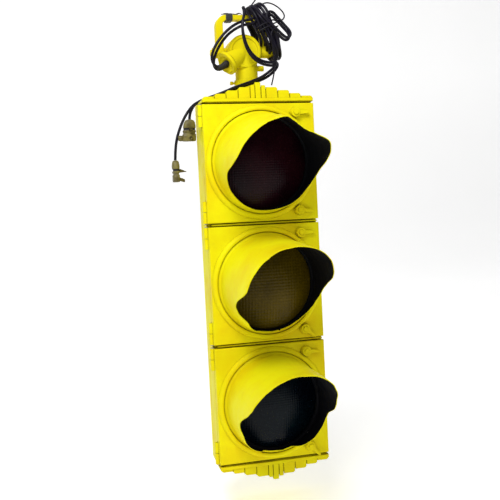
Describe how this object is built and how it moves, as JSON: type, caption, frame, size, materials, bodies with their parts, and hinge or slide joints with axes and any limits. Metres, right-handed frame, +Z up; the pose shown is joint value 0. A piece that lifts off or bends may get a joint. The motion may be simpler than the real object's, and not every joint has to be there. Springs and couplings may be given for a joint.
{
  "type": "traffic signal head",
  "caption": "Hanging traffic signal head with three hooded round lenses, hinged doors with thumb latches, a bail hanger and two wound-up cords with plugs.",
  "frame": {"origin": "centre of the bolt hole in the bail's bar, from which the signal hangs", "axes": "+X to the right of a viewer who faces the lenses, +Y away from that viewer, +Z up"},
  "size_m": [0.2955, 0.325, 1.0278],
  "materials": {
    "cast_yellow": "gloss",
    "sheet_yellow": "gloss",
    "hanger_yellow": "gloss",
    "lens_red": "gloss",
    "lens_amber": "gloss",
    "lens_green": "gloss",
    "seal_rubber": "matte",
    "zinc_steel": "satin",
    "bright_aluminium": "polished",
    "porcelain": "gloss",
    "lamp_glass": "gloss",
    "terminal_black": "satin",
    "lead_insulation": "matte",
    "cord_black": "satin",
    "tape_black": "satin",
    "plug_olive": "satin",
    "plug_brass": "satin"
  },
  "bodies": {
    "hanger": {"hanger_bail": "hanger_yellow", "bail_bolts": "hanger_yellow", "bail_tape": "tape_black"},
    "head": {"housing_top": "cast_yellow", "housing_middle": "cast_yellow", "housing_bottom": "cast_yellow", "section_bolts": "zinc_steel", "section_nuts": "zinc_steel", "wire_grommets": "seal_rubber", "hinge_pins": "zinc_steel", "reflectors": "bright_aluminium", "reflector_clips": "zinc_steel", "inner_screws": "zinc_steel", "lamp_sockets": "porcelain", "lamps": "lamp_glass", "terminal_block": "terminal_black", "signal_leads": "lead_insulation", "top_end_cap": "cast_yellow", "bottom_end_cap": "cast_yellow", "bottom_hub_plug": "hanger_yellow", "hanger_body": "hanger_yellow", "lock_ring": "hanger_yellow", "set_screw": "hanger_yellow", "hanger_locknut": "zinc_steel", "cord_bushing": "seal_rubber", "cord_1_lead": "cord_black", "cord_2_lead": "cord_black", "cord_hank": "cord_black", "cord_front_loop": "cord_black", "cord_side_loop": "cord_black", "cord_1_tail": "cord_black", "cord_2_tail": "cord_black", "tie_wire": "cord_black", "plug_1": "plug_olive", "plug_2": "plug_olive", "plug_blades": "plug_brass"},
    "top_door": {"door_top": "cast_yellow", "visor_top": "sheet_yellow", "lens_top": "lens_red", "door_seals_top": "seal_rubber", "lens_clips_top": "zinc_steel", "door_screws_top": "zinc_steel"},
    "top_upper_latch": {"latch_top_upper": "cast_yellow"},
    "top_lower_latch": {"latch_top_lower": "cast_yellow"},
    "middle_door": {"door_middle": "cast_yellow", "visor_middle": "sheet_yellow", "lens_middle": "lens_amber", "door_seals_middle": "seal_rubber", "lens_clips_middle": "zinc_steel", "door_screws_middle": "zinc_steel"},
    "middle_upper_latch": {"latch_middle_upper": "cast_yellow"},
    "middle_lower_latch": {"latch_middle_lower": "cast_yellow"},
    "bottom_door": {"door_bottom": "cast_yellow", "visor_bottom": "sheet_yellow", "lens_bottom": "lens_green", "door_seals_bottom": "seal_rubber", "lens_clips_bottom": "zinc_steel", "door_screws_bottom": "zinc_steel"},
    "bottom_upper_latch": {"latch_bottom_upper": "cast_yellow"},
    "bottom_lower_latch": {"latch_bottom_lower": "cast_yellow"}
  },
  "joints": [
    {"name": "head_tilt", "type": "hinge", "parent": "hanger", "child": "head", "pos_m": [0, 0, -0.07475], "axis": [1, 0, 0], "range_deg": [-6, 6]},
    {"name": "top_door_swing", "type": "hinge", "parent": "head", "child": "top_door", "pos_m": [-0.1075, -0.06325, -0.31775], "axis": [0, 0, -1], "range_deg": [0, 120]},
    {"name": "top_upper_latch_turn", "type": "hinge", "parent": "top_door", "child": "top_upper_latch", "pos_m": [0.092, -0.08, -0.21475], "axis": [0, -1, 0], "range_deg": [0, 45]},
    {"name": "top_lower_latch_turn", "type": "hinge", "parent": "top_door", "child": "top_lower_latch", "pos_m": [0.092, -0.08, -0.42075], "axis": [0, 1, 0], "range_deg": [0, 84]},
    {"name": "middle_door_swing", "type": "hinge", "parent": "head", "child": "middle_door", "pos_m": [-0.1075, -0.06325, -0.57175], "axis": [0, 0, -1], "range_deg": [0, 120]},
    {"name": "middle_upper_latch_turn", "type": "hinge", "parent": "middle_door", "child": "middle_upper_latch", "pos_m": [0.092, -0.08, -0.46875], "axis": [0, -1, 0], "range_deg": [0, 45]},
    {"name": "middle_lower_latch_turn", "type": "hinge", "parent": "middle_door", "child": "middle_lower_latch", "pos_m": [0.092, -0.08, -0.67475], "axis": [0, 1, 0], "range_deg": [0, 52]},
    {"name": "bottom_door_swing", "type": "hinge", "parent": "head", "child": "bottom_door", "pos_m": [-0.1075, -0.06325, -0.82575], "axis": [0, 0, -1], "range_deg": [0, 120]},
    {"name": "bottom_upper_latch_turn", "type": "hinge", "parent": "bottom_door", "child": "bottom_upper_latch", "pos_m": [0.092, -0.08, -0.72275], "axis": [0, -1, 0], "range_deg": [0, 45]},
    {"name": "bottom_lower_latch_turn", "type": "hinge", "parent": "bottom_door", "child": "bottom_lower_latch", "pos_m": [0.092, -0.08, -0.92875], "axis": [0, 1, 0], "range_deg": [0, 44]}
  ]
}
